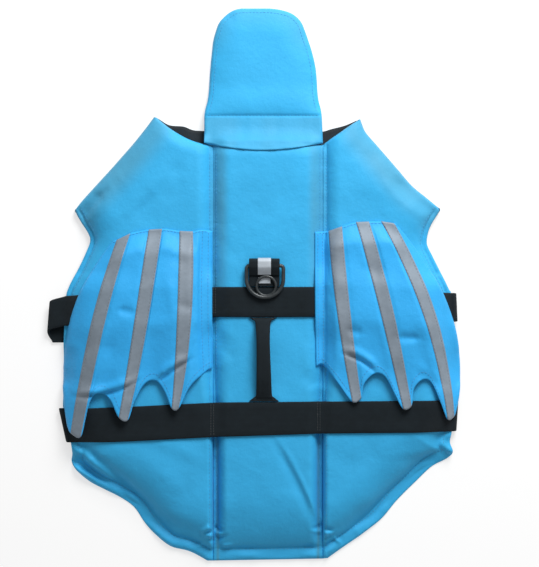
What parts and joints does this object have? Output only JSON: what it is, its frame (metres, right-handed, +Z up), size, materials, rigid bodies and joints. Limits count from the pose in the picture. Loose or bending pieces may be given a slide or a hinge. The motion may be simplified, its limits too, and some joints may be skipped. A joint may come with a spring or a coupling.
{
  "type": "dog life jacket",
  "caption": "Padded dog life jacket laid flat, back up, with a head float flap, scalloped wing flaps with reflective tapes, two webbing belts, a grab handle and a leash ring.",
  "frame": {"origin": "middle of the footprint, on the surface that the jacket lies on", "axes": "+Y towards the neck and head flap, +X to the right seen from above, +Z up out of the back"},
  "size_m": [0.4156, 0.5568, 0.0338],
  "materials": {
    "body_cloth": "sky blue woven nylon with a soft sheen",
    "wing_cloth": "azure woven nylon, a little brighter than the body",
    "lining": "matte black lining",
    "reflective_tape": "mid grey reflective tape",
    "webbing": "matte black ribbed webbing",
    "silver_stripe": "silver grey reflective stripe",
    "ring": "dark grey coated metal with soft highlights"
  },
  "bodies": {
    "jacket": {"center_panel": "body_cloth", "side_panel_left": "body_cloth", "side_panel_right": "body_cloth", "chest_flap_left": "body_cloth", "chest_flap_right": "body_cloth", "chest_lining_left": "lining", "chest_lining_right": "lining", "head_float_flap": "body_cloth", "wing_left": "wing_cloth", "wing_right": "wing_cloth", "tape_left_inner": "reflective_tape", "tape_left_middle": "reflective_tape", "tape_left_outer": "reflective_tape", "tape_right_inner": "reflective_tape", "tape_right_middle": "reflective_tape", "tape_right_outer": "reflective_tape", "upper_belt": "webbing", "lower_belt": "webbing", "grab_handle": "webbing", "ring_tab": "webbing", "tab_stripe": "silver_stripe"},
    "d_ring": {"d_ring": "ring"}
  },
  "joints": [
    {"name": "ring_hinge", "type": "hinge", "parent": "jacket", "child": "d_ring", "pos_m": [0.0112, 0.0188, 0.0257], "axis": [-1, 0, 0], "range_deg": [0, 165]}
  ]
}
